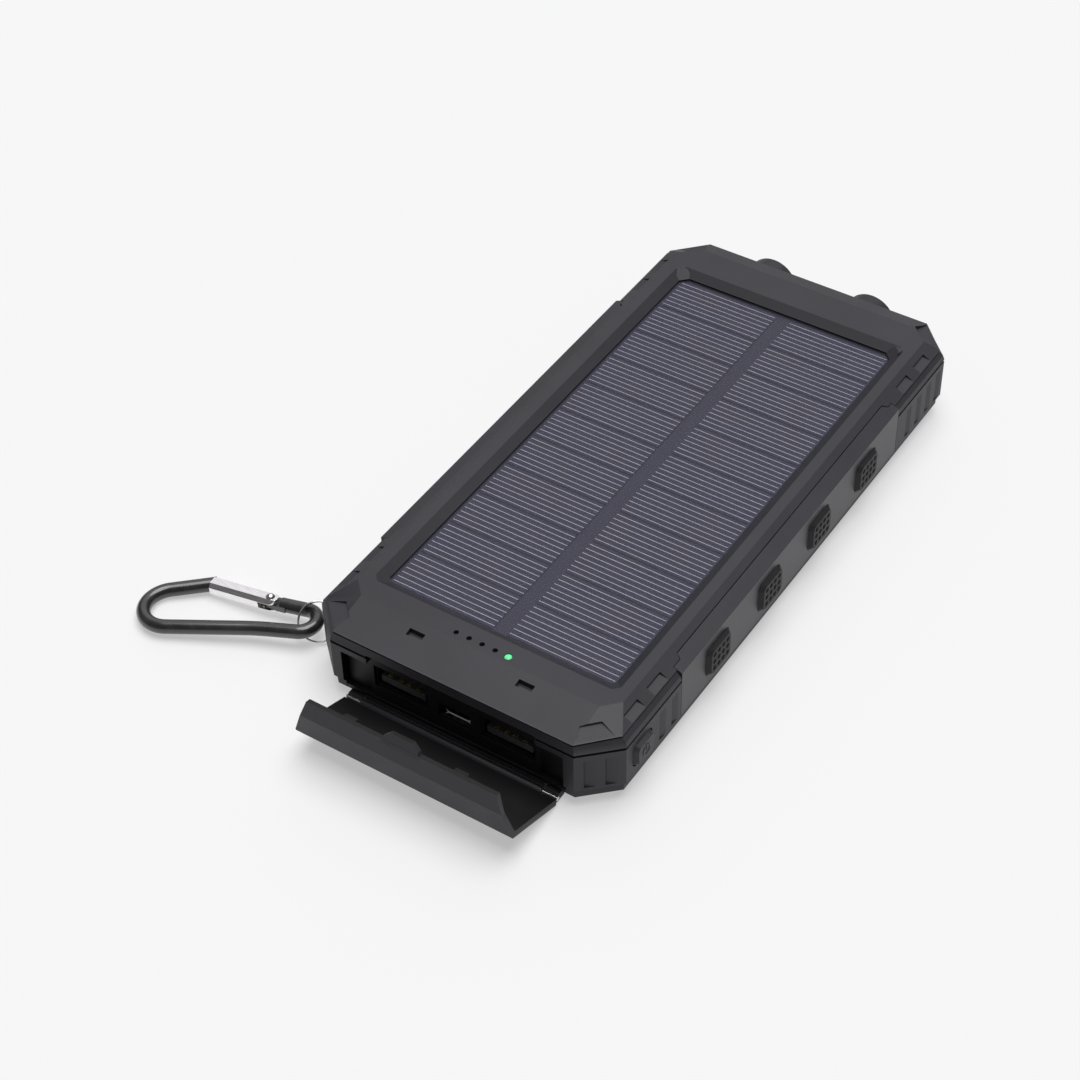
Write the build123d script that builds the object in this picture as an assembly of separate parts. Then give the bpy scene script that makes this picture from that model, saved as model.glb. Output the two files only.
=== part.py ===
from build123d import *
import math
import os

os.makedirs("parts", exist_ok=True)

# Rugged solar power bank. Millimetres. +Z is up from the table, +Y points to the torch end,
# the sockets face -Y, the power button faces +X. The origin is the middle of the underside.

# ------------------------------------------------------------------ driving dimensions
HALF_WIDTH = 37.5
HALF_LENGTH = 77.6
HEIGHT = 20.0
CORNER_X = 7.7            # how much each corner is cut off, across and along the case
CORNER_Y = 7.4
WALL_TOP = 15.0           # the shell ends here and the collar begins
SEAM = 17.6               # the collar ends here and the top cover begins
WALL = 3.2
FLOOR = 1.8
GROOVE = 0.45             # height of the shadow line under the cover
GROOVE_DEPTH = 0.7
RIM_GROOVE = 0.65         # height of the shadow line under the collar
SHOULDER_Z = 16.9         # the collar leans inward above this
SHOULDER_HALF_WIDTH = 37.2
SHOULDER_HALF_LENGTH = 77.25
FIT = 0.12                # gap between fitted mouldings
CORNER_SHRINK = 2 - math.sqrt(2)

SEAM_HALF_WIDTH = 36.3
SEAM_HALF_LENGTH = 77.1
SEAM_CUT_X = 7.0
SEAM_CUT_Y = 7.3
TOP_HALF_WIDTH = 32.6
TOP_FRONT = -67.0
TOP_BACK = 72.0
BEVEL_BOTTOM = SEAM + GROOVE
RECESS_X = 34.1           # inner edge of the recesses in the long slopes
RECESS_Z = 18.6           # their floors' inner height
RECESS_LENGTH = 5.2
RECESS_Y = (-63.3, -54.6, 54.0, 62.6)
CORNER_RECESS = 3.9       # how far the corner recesses reach in from the seam

WINDOW_HALF_WIDTH = 28.1
WINDOW_FRONT = -59.7
WINDOW_BACK = 62.0
WINDOW_SLOPE = 2.1        # how far the window's sloped frame reaches outward
PANEL_TOP = 18.3

SIDE_FRONT = -48.8        # side trim, between the corner blocks
SIDE_BACK = 46.8
TRIM_DEPTH = 1.7
TRIM_BOTTOM = 4.2
TRIM_CREST_X = 34.35
TRIM_STEP_X = 35.5        # inside this the sloped top of the trim stops short
TRIM_CREST_Z = 18.9

PAD_LENGTH = 9.5
PAD_HEIGHT = 7.8
PAD_PITCH = 21.9
PAD_CENTRE_Y = -1.6
PAD_CENTRE_Z = 11.2
PAD_PROUD = 1.0

BUTTON_Y = -64.1
BUTTON_Z = 10.05
BUTTON_LENGTH = 7.2
BUTTON_HEIGHT = 6.1

BAY_HALF_WIDTH = 27.3     # recess behind the port flap
BAY_DEPTH = 2.2
PORT_BLOCK_HALF_WIDTH = 20.7
PORT_BLOCK_DEPTH = 1.3
PORT_TOP = 15.9
USB_A_X = 13.2
SOCKET_BOTTOM = 6.65
SOCKET_FRONT = -75.7      # mouth of the two USB-A sockets

HINGE_Y = -78.2
HINGE_Z = 1.15
HINGE_PIN_RADIUS = 0.5
FLAP_HALF_WIDTH = 26.65
FLAP_KNUCKLE_HALF = 22.5
FLAP_KNUCKLE_RADIUS = 1.0
FLAP_THICKNESS = 1.2
FLAP_FOLD_Z = 18.45
FLAP_OPEN_ANGLE = 70.0

TORCH_X = 13.3
TORCH_Z = 11.2
BARREL_RADIUS = 6.2
BARREL_END = 80.6
BARREL_BORE = 5.1

BOARD_TOP = 6.6
BOARD_THICKNESS = 1.6
SOLAR_BOARD_BOTTOM = 16.8
TORCH_BOARD_FRONT = 69.6
LIGHT_PITCH = 3.2
LIGHT_Y = -65.3
CATCH_X = 13.4
CATCH_Y = -69.7
CATCH_FLOOR = 18.4        # bottom of the two catch pockets

TAB_X = 10.0              # nickel strips on the battery
TAB_FRONT = -42.9
LEAD_RADIUS = 0.45
SOLAR_LEAD_X = 21.0
RIBBON_X = 30.6           # flat cable to the torch
RIBBON_Z = 9.0
RIBBON_WIDTH = 3.6
RIBBON_BEND = 6.0

RING_CENTRE = (-42.7, -66.0, 3.8)
RING_RADIUS = 4.4
RING_WIRE = 0.25
RING_TURN_GAP = 0.04
RING_HEADING = 34.3       # direction of the ring's level diameter, from +X
RING_TILT = 44.0

CARABINER_PLACE = Pos(-55.9, -75.9, 3.34) * Rot(Z=207.6) * Rot(Y=3.15) * Rot(X=2.9)
BAR_RADIUS = 1.6
BIG_END_RADIUS = 6.0
BIG_END_X = 17.0
SMALL_END = (-12.5, -2.6)
SMALL_END_RADIUS = 3.5
NOSE = (9.86, -13.7)
PIVOT = (-4.9, -8.3)
SPINE_EASE = 3.0          # length of the gentle bend in the spine, to each side
GATE_REACH = 14.9         # from the pivot to the round end of the gate


# ------------------------------------------------------------------ shape helpers
def block(x0, x1, y0, y1, z0, z1):
    """Box between two corners."""
    return Pos((x0 + x1) / 2, (y0 + y1) / 2, (z0 + z1) / 2) * Box(x1 - x0, y1 - y0, z1 - z0)


def rod(start, direction, radius, length):
    """Round bar from a point, along a direction."""
    return extrude(Plane(origin=start, z_dir=direction) * Circle(radius), length)


def face_of(points):
    return make_face(Polyline(*points, close=True))


def eight_sides(half_x, front, back, cut_x, cut_y, z):
    """Rectangle with its four corners cut off, as a face at height z."""
    points = [
        (half_x, back - cut_y), (half_x - cut_x, back),
        (cut_x - half_x, back), (-half_x, back - cut_y),
        (-half_x, front + cut_y), (cut_x - half_x, front),
        (half_x - cut_x, front), (half_x, front + cut_y),
    ]
    return Pos(0, 0, z) * face_of(points)


def case_outline(inset, z):
    """Outline of the case wall, moved inward, at height z."""
    shrink = inset * CORNER_SHRINK
    half_y = HALF_LENGTH - inset
    return eight_sides(HALF_WIDTH - inset, -half_y, half_y, CORNER_X - shrink, CORNER_Y - shrink, z)


def seam_outline(inset, z):
    """Outline of the seam under the top cover, moved inward, at height z."""
    shrink = inset * CORNER_SHRINK
    half_y = SEAM_HALF_LENGTH - inset
    return eight_sides(SEAM_HALF_WIDTH - inset, -half_y, half_y, SEAM_CUT_X - shrink, SEAM_CUT_Y - shrink, z)


def case_prism(inset, z0, z1):
    return extrude(case_outline(inset, z0), z1 - z0)


def across_profile(points, x0, x1):
    """Solid with a (y, z) section, from x0 to x1."""
    return extrude(Plane.YZ.offset(x0) * face_of(points), x1 - x0)


def along_profile(points, y0, y1):
    """Solid with an (x, z) section, from y0 to y1."""
    return extrude(Plane.XZ.offset(-y1) * face_of(points), y1 - y0)


def mirrored(shape):
    """The same piece on the other side of the case."""
    return mirror(shape, about=Plane.YZ)


def solid_list(shape):
    return list(shape.solids())


def save(shape, name):
    """Writes a node as one solid, or as a group when it has several."""
    solids = solid_list(shape)
    piece = solids[0] if len(solids) == 1 else Compound(children=solids)
    export_step(piece, "parts/" + name + ".step")


def bend_radii(points):
    """Largest round bend at each corner: 0.45 of the shorter run beside it, over tan(half the turn)."""
    radii = []
    for before, corner, after in zip(points, points[1:], points[2:]):
        run_in = Vector(*corner) - Vector(*before)
        run_out = Vector(*after) - Vector(*corner)
        half_turn = math.radians(run_in.get_angle(run_out) / 2)
        radii.append(0.45 * min(run_in.length, run_out.length) / math.tan(half_turn))
    return radii


def lead(points, radius):
    """Round wire along straight runs joined by tangent arcs."""
    radii = bend_radii(points)
    print("lead radius", radius, "bends", [round(r, 2) for r in radii])
    route = FilletPolyline(*points, radius=radii)
    return sweep(Plane(origin=route @ 0, z_dir=route % 0) * Circle(radius), path=route)


# ------------------------------------------------------------------ side trim and its pads
def trim_body(side_gap, depth_gap):
    """Right side trim; positive gaps make the space that it needs."""
    bottom = TRIM_BOTTOM - side_gap
    inner = HALF_WIDTH - TRIM_DEPTH - depth_gap
    crest = TRIM_CREST_X - depth_gap
    proud = 3 * depth_gap
    section = [
        (HALF_WIDTH - 0.6 + proud, bottom), (HALF_WIDTH + proud, 5.0), (HALF_WIDTH + proud, SEAM + proud),
        (crest, TRIM_CREST_Z + proud), (crest, TRIM_CREST_Z - 0.7 - depth_gap),
        (inner, SEAM - depth_gap), (inner, bottom),
    ]
    body = along_profile(section, SIDE_FRONT - side_gap, SIDE_BACK + side_gap)
    for end, inward, low_step, high_step in ((SIDE_FRONT, 1, 2.6, 3.4), (SIDE_BACK, -1, 1.6, 2.8)):
        near = end + inward * (low_step - side_gap)
        far = end + inward * (high_step - side_gap)
        x = TRIM_STEP_X - side_gap
        notch = face_of([(30, end - inward), (x, end - inward), (x, near), (x - 1.4, far), (30, far)])
        body -= Pos(0, 0, SEAM - 0.9 + side_gap) * extrude(notch, HEIGHT - SEAM, dir=(0, 0, 1))
    return body


def pad_positions():
    return [PAD_CENTRE_Y + (i - 1.5) * PAD_PITCH for i in range(4)]


def rounded_plate(length, height, radius, x):
    """Rounded rectangle standing in the side wall, as a face at x."""
    side_plane = Plane(origin=(x, 0, 0), x_dir=(0, 1, 0), z_dir=(1, 0, 0))
    return side_plane * RectangleRounded(length, height, radius)


def grip_pad(y):
    """Rubber pad with sloped sides and rows of dimples, standing out of the right trim."""
    root = HALF_WIDTH - 1.1
    top = HALF_WIDTH + PAD_PROUD
    stem = extrude(rounded_plate(PAD_LENGTH, PAD_HEIGHT, 1.6, root - 0.1), HALF_WIDTH - root + 0.1)
    dome = loft([
        rounded_plate(PAD_LENGTH, PAD_HEIGHT, 1.6, HALF_WIDTH),
        rounded_plate(PAD_LENGTH - 1.7, PAD_HEIGHT - 1.2, 1.3, top),
    ])
    pad = stem + dome
    for column in range(4):
        for row in range(3):
            dimple = Pos(top + 0.35, (column - 1.5) * 1.75, (row - 1) * 1.95) * Sphere(0.75)
            pad -= dimple
    return Pos(0, y, PAD_CENTRE_Z) * pad


def make_side_trim():
    """Smooth side panel with four openings for the grip pads and a channel for their strip."""
    trim = trim_body(0, 0)
    for y in pad_positions():
        hole = extrude(rounded_plate(PAD_LENGTH + 0.1, PAD_HEIGHT + 0.1, 1.65, HALF_WIDTH - 3), 4)
        trim -= Pos(0, y, PAD_CENTRE_Z) * hole
    inner = HALF_WIDTH - TRIM_DEPTH
    front = pad_positions()[0] - 6.5
    back = pad_positions()[-1] + 6.5
    trim -= block(inner - 1, inner + 0.65, front, back, PAD_CENTRE_Z - 5.1, PAD_CENTRE_Z + 5.1)
    return trim


def make_grip_pads():
    """One rubber moulding: a strip behind the trim and the four pads that stand out of it."""
    inner = HALF_WIDTH - TRIM_DEPTH
    front = pad_positions()[0] - 6.4
    back = pad_positions()[-1] + 6.4
    moulding = block(inner, inner + 0.6, front, back, PAD_CENTRE_Z - 5, PAD_CENTRE_Z + 5)
    for y in pad_positions():
        moulding += grip_pad(y)
    return moulding


# ------------------------------------------------------------------ bottom shell
def ramp_cut(x, y, along, inward, z0, z1):
    """Grip notch: a sharp step that ramps back up to the wall."""
    depth = 0.5
    run = 2.5
    points = [
        (x - inward[0], y - inward[1]),
        (x + inward[0] * depth, y + inward[1] * depth),
        (x + along[0] * run - inward[0] * 0.01, y + along[1] * run - inward[1] * 0.01),
    ]
    return Pos(0, 0, z0) * extrude(face_of(points), z1 - z0)


def grip_notches():
    """Notches on the corner blocks: along both sides and over the four cut corners."""
    z0 = 5.5
    z1 = 13.6
    cuts = []
    for y in (-57.5, -52.7, 51.6, 56.6, 61.6, 66.4):
        right = ramp_cut(HALF_WIDTH, y, (0, 1), (-1, 0), z0, z1)
        cuts += [right, mirrored(right)]
    corner_length = math.hypot(CORNER_X, CORNER_Y)
    along = (CORNER_X / corner_length, CORNER_Y / corner_length)
    inward = (-along[1], along[0])
    start = (HALF_WIDTH - CORNER_X, -HALF_LENGTH)
    for distance in (2.0, 6.4):
        x = start[0] + along[0] * distance
        y = start[1] + along[1] * distance
        front_right = ramp_cut(x, y, along, inward, z0, z1)
        back_right = mirror(front_right, about=Plane.XZ)
        cuts += [front_right, mirrored(front_right), back_right, mirrored(back_right)]
    return cuts


def shell_outside():
    """Outer form with its stepped and sloped foot."""
    foot = loft([case_outline(3.0, 0), case_outline(0.8, 2.2)], ruled=True)
    step = case_prism(0.8, 2.2, 4.0)
    slope = loft([case_outline(0.8, 4.0), case_outline(0, 5.0)], ruled=True)
    return foot + step + slope + case_prism(0, 5.0, WALL_TOP)


def barrel(radius, y0, y1, side):
    return rod((side * TORCH_X, y0, TORCH_Z), (0, 1, 0), radius, y1 - y0)


def port_bay_cut():
    """Recess for the closed flap, deeper beside the socket block than over it."""
    front = -HALF_LENGTH - 1
    floor = -HALF_LENGTH + BAY_DEPTH
    middle = -HALF_LENGTH + PORT_BLOCK_DEPTH
    side = PORT_BLOCK_HALF_WIDTH
    cut = block(-BAY_HALF_WIDTH, -side, front, floor, 3.2, 13.6)
    cut += block(side, BAY_HALF_WIDTH, front, floor, 3.2, 13.6)
    cut += block(-side, side, front, middle, 3.2, PORT_TOP)
    cut += block(-BAY_HALF_WIDTH, BAY_HALF_WIDTH, front, -HALF_LENGTH + 0.9, -1, 3.3)
    return cut


def socket_openings():
    """Openings in front of the two USB-A sockets and the micro-USB socket."""
    front = -HALF_LENGTH
    back = -HALF_LENGTH + WALL + 1
    cuts = block(-4.1, 4.1, front, back, 6.2, 10.6)
    for side in (-1, 1):
        cuts += block(side * USB_A_X - 6.75, side * USB_A_X + 6.75, front, back, 6.45, 12.55)
    return cuts


def hinge_ear(side):
    """Open clip that holds one end of the flap's hinge pin from behind and below."""
    x0 = side * 24.5 - 1.7
    x1 = side * 24.5 + 1.7
    ear = rod((x0, HINGE_Y, HINGE_Z), (1, 0, 0), 0.95, x1 - x0)
    ear += block(x0, x1, HINGE_Y, -75.6, 0.2, 1.9)
    ear -= rod((x0 - 1, HINGE_Y, HINGE_Z), (1, 0, 0), HINGE_PIN_RADIUS + 0.03, 6)
    mouth = [
        (HINGE_Y, HINGE_Z), (HINGE_Y - 2.2, HINGE_Z - 0.6), (HINGE_Y - 2.2, HINGE_Z + 2.2),
        (HINGE_Y + 1.3, HINGE_Z + 2.2),
    ]
    return ear - across_profile(mouth, x0 - 1, x1 + 1)


def ring_directions():
    """The ring's level diameter, its rising diameter and its axis."""
    heading = math.radians(RING_HEADING)
    tilt = math.radians(RING_TILT)
    level = Vector(math.cos(heading), math.sin(heading), 0)
    rising = Vector(-math.sin(heading) * math.cos(tilt), math.cos(heading) * math.cos(tilt), math.sin(tilt))
    return level, rising, level.cross(rising)


def lanyard_eyelet():
    """Short tube on the left side wall that the key ring passes through."""
    level, rising, _ = ring_directions()
    centre = Vector(*RING_CENTRE) + level * RING_RADIUS
    eyelet = rod(centre - rising * 1.1, rising, 2.3, 2.2)
    eyelet += block(-37.6, -34.8, centre.Y - 1.9, centre.Y + 1.9, 2.4, 6.6)
    eyelet += block(centre.X, -36, centre.Y - 0.9, centre.Y + 0.9, 3.2, 6.0)
    return eyelet, rod(centre - rising * 4, rising, 1.25, 8)


def screw_places():
    return [(side * x, y) for side in (-1, 1) for x, y in ((26.5, -70.5), (29.0, 68.5))]


def make_bottom_shell():
    shell = shell_outside()
    shell -= case_prism(WALL, FLOOR, WALL_TOP + 1)
    eyelet, eyelet_bore = lanyard_eyelet()
    shell += eyelet
    for side in (-1, 1):
        shell += barrel(BARREL_RADIUS, 73.0, BARREL_END, side)
    for x, y in screw_places():
        shell += rod((x, y, 0.5), (0, 0, 1), 2.6, SEAM - 0.5)
    shell -= port_bay_cut()
    for side in (-1, 1):
        shell += hinge_ear(side)
    sill_front = HINGE_Y + FLAP_KNUCKLE_RADIUS + 0.2
    shell += block(0.2 - FLAP_KNUCKLE_HALF, FLAP_KNUCKLE_HALF - 0.2, sill_front, -75.0, 0.15, 2.3)
    shell -= socket_openings()
    shell -= eyelet_bore
    for side in (-1, 1):
        shell -= barrel(BARREL_BORE, 70, BARREL_END + 1, side)
    for x, y in screw_places():
        shell -= rod((x, y, -1), (0, 0, 1), 2.3, 3.0)
        shell -= rod((x, y, -1), (0, 0, 1), 1.25, HEIGHT)
    right_space = trim_body(FIT, FIT)
    shell -= right_space
    shell -= mirrored(right_space)
    hole = rounded_plate(BUTTON_LENGTH + 0.3, BUTTON_HEIGHT + 0.3, 1.6, 33)
    shell -= Pos(0, BUTTON_Y, BUTTON_Z) * extrude(hole, 6)
    for cut in grip_notches():
        shell -= cut
    return shell


# ------------------------------------------------------------------ collar and top cover
def make_rim_collar():
    """Raised rim between the shell and the cover, with a shadow groove under it."""
    collar = case_prism(GROOVE_DEPTH, WALL_TOP, WALL_TOP + RIM_GROOVE)
    shoulder = eight_sides(
        SHOULDER_HALF_WIDTH, -SHOULDER_HALF_LENGTH, SHOULDER_HALF_LENGTH, CORNER_X - 0.2, CORNER_Y, SHOULDER_Z)
    collar += loft([case_outline(0, WALL_TOP + RIM_GROOVE), shoulder], ruled=True)
    collar += loft([shoulder, seam_outline(0, SEAM)], ruled=True)
    collar -= case_prism(WALL, WALL_TOP - 1, SEAM + 1)
    front = -HALF_LENGTH - 1
    side = PORT_BLOCK_HALF_WIDTH
    collar -= block(-side, side, front, -HALF_LENGTH + PORT_BLOCK_DEPTH, WALL_TOP - 1, PORT_TOP)
    space = trim_body(FIT, FIT)
    collar -= space
    collar -= mirrored(space)
    for side in (-1, 1):
        collar -= barrel(BARREL_RADIUS + FIT, 70, BARREL_END + 1, side)
    for x, y in screw_places():
        collar -= rod((x, y, 0), (0, 0, 1), 2.6 + FIT, HEIGHT)
    return collar


def light_places():
    return [((i - 2) * LIGHT_PITCH, LIGHT_Y) for i in range(5)]


def make_top_cover():
    """Top cover: sloped edges, the solar window, five light holes and two catch pockets."""
    cover = extrude(seam_outline(GROOVE_DEPTH, SEAM), GROOVE)
    top = eight_sides(TOP_HALF_WIDTH, TOP_FRONT, TOP_BACK, 3.4, 3.5, HEIGHT)
    cover += loft([seam_outline(0, BEVEL_BOTTOM), top], ruled=True)
    outer = eight_sides(
        WINDOW_HALF_WIDTH + WINDOW_SLOPE, WINDOW_FRONT - WINDOW_SLOPE, WINDOW_BACK + WINDOW_SLOPE,
        1.4, 1.4, HEIGHT)
    inner = eight_sides(WINDOW_HALF_WIDTH, WINDOW_FRONT, WINDOW_BACK, 1.2, 1.2, PANEL_TOP + 0.3)
    cover -= loft([inner, outer], ruled=True)
    glass_top = PANEL_TOP + 0.3
    half = WINDOW_HALF_WIDTH
    cover -= block(-half, half, WINDOW_FRONT, WINDOW_BACK, SEAM - 1, glass_top)
    cover += far_window_corners()
    cover -= block(-30.8, 30.8, WINDOW_FRONT - 2.6, WINDOW_BACK + 2.8, SEAM - 1, glass_top)
    for i, (x, y) in enumerate(light_places()):
        radius = 0.88 if i == 4 else 0.6
        cover -= rod((x, y, SEAM - 1), (0, 0, 1), radius, 4)
    for side in (-1, 1):
        pocket = Pos(side * CATCH_X, CATCH_Y, CATCH_FLOOR + 1)
        cover -= pocket * Box(3.8, 1.5, 2)
        cover -= pocket * Pos(-1.4, -0.5) * Box(1.0, 1.0, 2)
        cover += rod((side * 9.0, LIGHT_Y, 14.25), (0, 0, 1), 1.0, SEAM - 14)
    space = trim_body(FIT, FIT)
    cover -= space
    cover -= mirrored(space)
    for recess in bevel_recesses():
        cover -= recess
    for x, y in screw_places():
        cover -= rod((x, y, 0), (0, 0, 1), 1.05, SEAM + 0.9)
    return cover


def far_window_corners():
    """Small sloped fillers that cut the window's two far corners."""
    size = 3.0
    z0 = PANEL_TOP + 0.3
    fillers = []
    for side in (-1, 1):
        x = side * (WINDOW_HALF_WIDTH + 0.6)
        y = WINDOW_BACK + 0.6
        low = Pos(0, 0, z0) * face_of([(x, y), (x - side * size, y), (x, y - size)])
        high = Pos(0, 0, HEIGHT) * face_of([
            (x + side, y + 1), (x - side * (size - 2.2), y + 1), (x + side, y - size + 2.2)])
        fillers.append(loft([low, high], ruled=True))
    return fillers[0] + fillers[1]


def bevel_recesses():
    """Recesses in the cover's sloped edge: two at each end of each side and one on each corner.

    Their floors are flatter than the slope, so each starts with a step and runs out at the seam."""
    rim = BEVEL_BOTTOM + 0.05
    above = HEIGHT + 1
    out = 2.0
    recesses = []
    half_width = SEAM_HALF_WIDTH
    section = [
        (RECESS_X, RECESS_Z), (half_width, rim), (half_width + out, rim), (half_width + out, above), (RECESS_X, above)]
    for y in RECESS_Y:
        right = along_profile(section, y - RECESS_LENGTH / 2, y + RECESS_LENGTH / 2)
        recesses += [right, mirrored(right)]
    start = (half_width - SEAM_CUT_X, -SEAM_HALF_LENGTH)
    length = math.hypot(SEAM_CUT_X, SEAM_CUT_Y)
    along = (SEAM_CUT_X / length, SEAM_CUT_Y / length, 0)
    inward = (-along[1], along[0], 0)
    corner = Plane(origin=(*start, 0), x_dir=inward, z_dir=along)
    floor = corner * face_of([(-out, rim), (0, rim), (CORNER_RECESS, RECESS_Z), (CORNER_RECESS, above), (-out, above)])
    sides = Plane(origin=(*start, 0), x_dir=along, z_dir=(0, 0, 1)) * face_of([
        (-0.2, -out), (2.4, CORNER_RECESS + 0.1), (length - 3.2, CORNER_RECESS + 0.1), (length - 0.2, -out)])
    front_right = extrude(floor, length, dir=along) & extrude(sides, above, dir=(0, 0, 1))
    back_right = mirror(front_right, about=Plane.XZ)
    recesses += [front_right, mirrored(front_right), back_right, mirrored(back_right)]
    return recesses


# ------------------------------------------------------------------ port flap
def flap_section():
    """Closed section of the flap: upright plate, sloped band, flat lip."""
    t = FLAP_THICKNESS
    outer_y = HINGE_Y - 1.0
    band_slope = math.radians(25)
    lip_slope = math.radians(9)
    fold = (outer_y, FLAP_FOLD_Z)
    bend = (fold[0] + 6.3 * math.cos(band_slope), fold[1] + 6.3 * math.sin(band_slope))
    tip = (bend[0] + 4.2 * math.cos(lip_slope), bend[1] + 4.2 * math.sin(lip_slope))
    inner_tip = (tip[0] + t * math.sin(lip_slope), tip[1] - t * math.cos(lip_slope))
    mid_slope = (band_slope + lip_slope) / 2
    inner_bend = (bend[0] + t * math.sin(mid_slope), bend[1] - t * math.cos(mid_slope))
    inner_fold = (fold[0] + t, fold[1] - t * math.tan((math.pi / 2 - band_slope) / 2))
    outer_foot = (outer_y, HINGE_Z + 1.0)
    inner_foot = (outer_y + t, HINGE_Z + 1.0)
    return [outer_foot, fold, bend, tip, inner_tip, inner_bend, inner_fold, inner_foot]


def closed_port_flap():
    """Flap in its closed position, over the sockets."""
    half = FLAP_HALF_WIDTH
    section = flap_section()
    tip_y = section[3][0]
    tip_z = section[3][1]
    bend_y = section[2][0]
    flap = across_profile(section, -half, half)
    plan = [
        (half, HINGE_Y - 2), (half, section[1][0] + 0.4), (24.5, bend_y), (23.0, tip_y + 0.2),
        (-23.0, tip_y + 0.2), (-24.5, bend_y), (-half, section[1][0] + 0.4), (-half, HINGE_Y - 2),
    ]
    flap &= extrude(face_of(plan), HEIGHT + 6)
    flap += extrude(Pos(0, 0, tip_z - 1.3) * face_of([
        (-4.6, tip_y - 0.8), (4.6, tip_y - 0.8), (4.2, tip_y + 0.9), (2.6, tip_y + 2.2),
        (-2.6, tip_y + 2.2), (-4.2, tip_y + 0.9)]), 1.25)
    knuckle = FLAP_KNUCKLE_HALF
    flap += rod((-knuckle, HINGE_Y, HINGE_Z), (1, 0, 0), FLAP_KNUCKLE_RADIUS, 2 * knuckle)
    flap += block(-knuckle, knuckle, HINGE_Y - 1.0, HINGE_Y + 0.2, HINGE_Z, HINGE_Z + 1.0)
    for side in (-1, 1):
        catch_height = tip_z - 1.0 - (HEIGHT - 0.9)
        catch = Pos(side * CATCH_X, CATCH_Y, HEIGHT - 0.9 + catch_height / 2)
        flap += catch * Box(3.0, 0.6, catch_height)
    arrow = Plane(origin=(0, HINGE_Y - 1.0, 15.0), x_dir=(1, 0, 0), z_dir=(0, -1, 0))
    mark = arrow * face_of([(-1.3, -0.9), (1.3, -0.9), (0, 1.3)])
    flap += extrude(mark, 0.2)
    return flap - rod((-knuckle - 1, HINGE_Y, HINGE_Z), (1, 0, 0), HINGE_PIN_RADIUS + 0.05, 2 * knuckle + 2)


def make_port_flap():
    """Flap swung open about its hinge pin."""
    hinge = Axis((0, HINGE_Y, HINGE_Z), (1, 0, 0))
    return closed_port_flap().rotate(hinge, FLAP_OPEN_ANGLE)


def make_flap_hinge_pin():
    return rod((-26.3, HINGE_Y, HINGE_Z), (1, 0, 0), HINGE_PIN_RADIUS, 52.6)


# ------------------------------------------------------------------ solar panel
def make_solar_board():
    return block(-30.5, 30.5, WINDOW_FRONT - 2.3, WINDOW_BACK + 2.5, SOLAR_BOARD_BOTTOM, 17.8)


def make_solar_cells():
    """Two columns of eleven thin cell strips."""
    strips = []
    pitch = (WINDOW_BACK - WINDOW_FRONT - 1.2) / 11
    for side in (-1, 1):
        for i in range(11):
            y0 = WINDOW_FRONT + 0.6 + i * pitch + 0.2
            x0 = min(side * 1.8, side * 27.7)
            strips.append(block(x0, x0 + 25.9, y0, y0 + pitch - 0.4, 17.82, 17.98))
    return Compound(children=strips)


def make_solar_film():
    return block(-30.5, 30.5, WINDOW_FRONT - 2.3, WINDOW_BACK + 2.5, 18.0, PANEL_TOP)


def make_panel_gasket():
    outer = block(-30.5, 30.5, WINDOW_FRONT - 2.3, WINDOW_BACK + 2.5, PANEL_TOP + 0.02, PANEL_TOP + 0.28)
    inset = 0.3
    half = WINDOW_HALF_WIDTH + inset
    return outer - block(-half, half, WINDOW_FRONT - inset, WINDOW_BACK + inset, 17, HEIGHT)


def make_panel_frame():
    """Frame that presses the solar board up against the cover."""
    frame = block(-31.0, 31.0, WINDOW_FRONT - 2.0, WINDOW_BACK + 2.5, 15.5, 16.75)
    return frame - block(-26.0, 26.0, WINDOW_FRONT + 3, WINDOW_BACK - 3, 15, 17)


# ------------------------------------------------------------------ electronics
def make_main_board():
    board = block(-31.0, 31.0, -73.8, -49.0, BOARD_TOP - BOARD_THICKNESS, BOARD_TOP)
    for side in (-1, 1):
        corner = [(side * 32, -74), (side * 24.5, -74), (side * 32, -66.5)]
        board -= extrude(face_of(corner), BOARD_TOP + 1)
    for x, y in screw_places():
        board -= rod((x, y, 0), (0, 0, 1), 2.9, 10)
    return board


def make_board_chips():
    """Charging controller, inductor and smaller parts soldered to the main board."""
    z = BOARD_TOP + 0.05
    chips = [
        block(-14, -8, -58, -52, z, z + 1.6),
        block(-3, 3, -57, -51, z, z + 3.0),
        block(8, 12, -57, -53, z, z + 1.2),
        block(15, 18, -57, -52, z, z + 1.0),
    ]
    return Compound(children=chips)


def make_usb_a_shell(side):
    """Folded steel shell of a USB-A socket, open at the front."""
    x = side * USB_A_X
    shell = block(x - 6.6, x + 6.6, SOCKET_FRONT, -60.8, SOCKET_BOTTOM, SOCKET_BOTTOM + 5.75)
    shell -= block(x - 6.25, x + 6.25, SOCKET_FRONT - 1, -61.2, SOCKET_BOTTOM + 0.32, SOCKET_BOTTOM + 5.44)
    return shell


def make_usb_a_tongue(side):
    x = side * USB_A_X
    bottom = SOCKET_BOTTOM + 1.1
    tongue = block(x - 5.55, x + 5.55, SOCKET_FRONT + 0.3, -61.3, bottom, bottom + 1.84)
    base = block(x - 6.2, x + 6.2, -63.2, -61.3, SOCKET_BOTTOM + 0.4, SOCKET_BOTTOM + 5.3)
    return tongue + base


def make_usb_a_contacts(side):
    """Four gold blades lying on the tongue."""
    bottom = SOCKET_BOTTOM + 1.1 + 1.84 + 0.02
    blades = []
    for offset in (-3.5, -1.0, 1.0, 3.5):
        x = side * USB_A_X + offset
        blades.append(block(x - 0.55, x + 0.55, SOCKET_FRONT + 0.6, -64.0, bottom, bottom + 0.14))
    return Compound(children=blades)


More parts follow.
